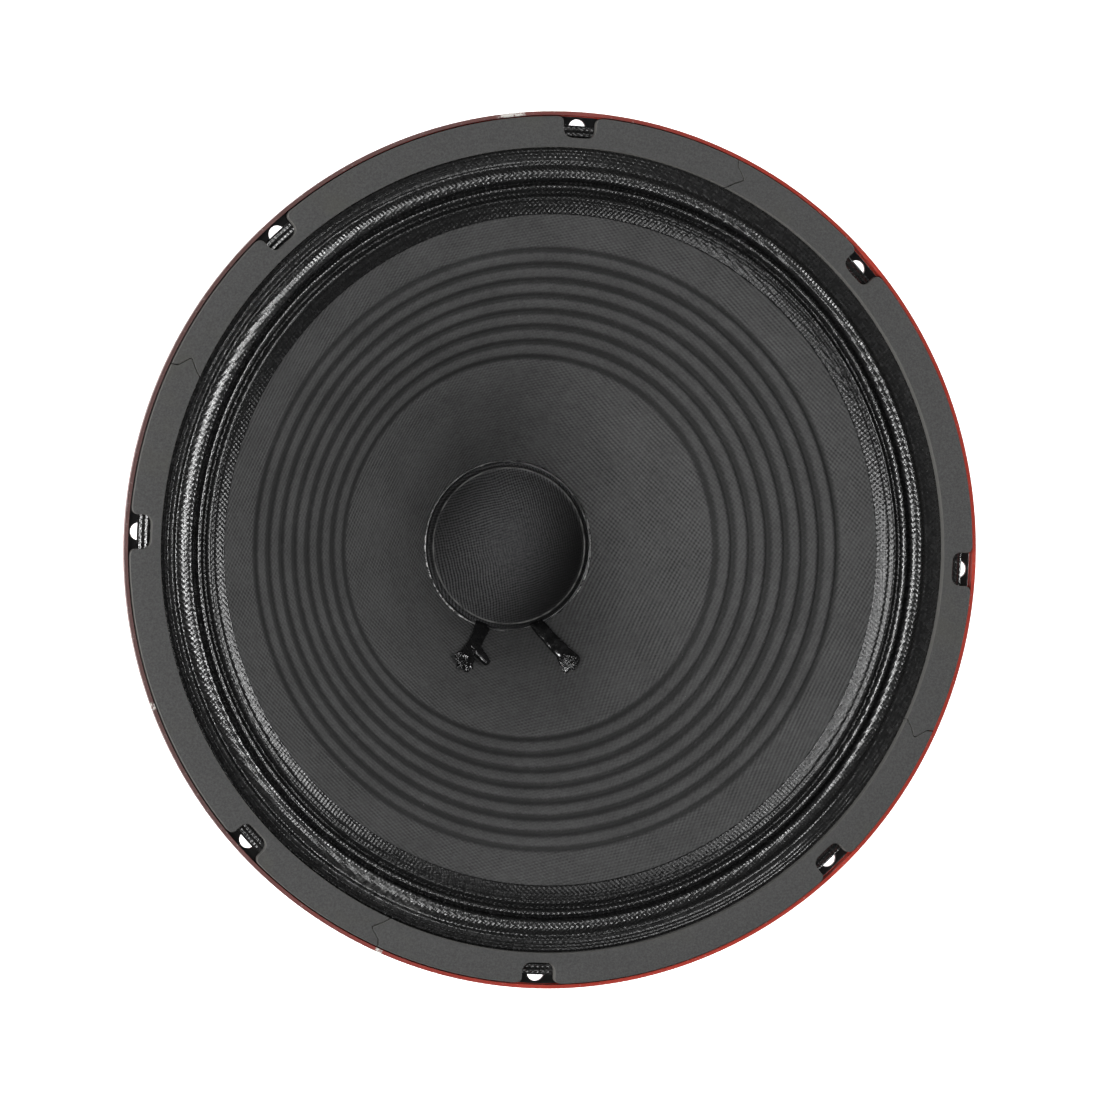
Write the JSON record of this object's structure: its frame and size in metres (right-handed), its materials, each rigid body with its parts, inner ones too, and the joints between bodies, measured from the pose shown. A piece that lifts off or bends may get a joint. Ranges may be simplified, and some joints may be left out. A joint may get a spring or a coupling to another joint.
{
  "type": "loudspeaker driver",
  "caption": "Round loudspeaker driver with a notched front gasket, doped cloth surround, ribbed paper cone, windowed steel basket and ferrite ring motor.",
  "frame": {"origin": "centre of the back plate's rear face, on the axis of the driver", "axes": "+Z along the driver's axis, out of the front of the cone; the terminals are on the -Y side; +Y runs through a bolt hole"},
  "size_m": [0.3096, 0.3096, 0.136],
  "materials": {
    "red_paint": "smooth red paint, semi-gloss, with small chips on the rim",
    "gasket_fibre": "dark grey pressed fibre board, matte",
    "doped_cloth": "black woven cloth soaked in glossy dope",
    "cone_paper": "black paper pulp with a mesh imprint, matte",
    "cap_cloth": "black plain-weave cloth, matte",
    "former_paper": "brown resin-soaked paper, satin",
    "copper": "copper wire and braid",
    "spider_cloth": "amber resin-soaked woven cloth",
    "zinc_steel": "turned steel with clear zinc plating",
    "ferrite": "dark grey ground ferrite",
    "phenolic": "brown phenolic paper laminate",
    "tinned_brass": "tin-plated brass, satin",
    "black_dope": "glossy black dope over cloth and solder"
  },
  "bodies": {
    "basket_assembly": {"basket": "red_paint", "gasket_segment_1": "gasket_fibre", "gasket_segment_2": "gasket_fibre", "gasket_segment_3": "gasket_fibre", "gasket_segment_4": "gasket_fibre", "surround": "doped_cloth", "spider": "spider_cloth", "top_plate": "zinc_steel", "magnet": "ferrite", "back_plate": "zinc_steel", "pole_piece": "zinc_steel", "plate_screw_1": "zinc_steel", "plate_screw_2": "zinc_steel", "plate_screw_3": "zinc_steel", "plate_screw_4": "zinc_steel", "terminal_board": "phenolic", "terminal_tab_1": "tinned_brass", "terminal_tab_2": "tinned_brass", "terminal_rivet_1": "tinned_brass", "terminal_rivet_2": "tinned_brass", "board_rivet_1": "tinned_brass", "board_rivet_2": "tinned_brass", "tinsel_lead_1": "copper", "tinsel_lead_2": "copper"},
    "cone_assembly": {"cone": "cone_paper", "dust_cap": "cap_cloth", "coil_former": "former_paper", "coil_winding": "copper", "lead_out_1": "black_dope", "lead_out_2": "black_dope", "lead_eyelet_1": "tinned_brass", "lead_eyelet_2": "tinned_brass"}
  },
  "joints": [
    {"name": "cone_travel", "type": "slide", "parent": "basket_assembly", "child": "cone_assembly", "axis": [0, 0, 1], "range_m": [-0.005, 0.005], "deforming": ["surround", "spider", "tinsel_lead_1", "tinsel_lead_2"]}
  ]
}
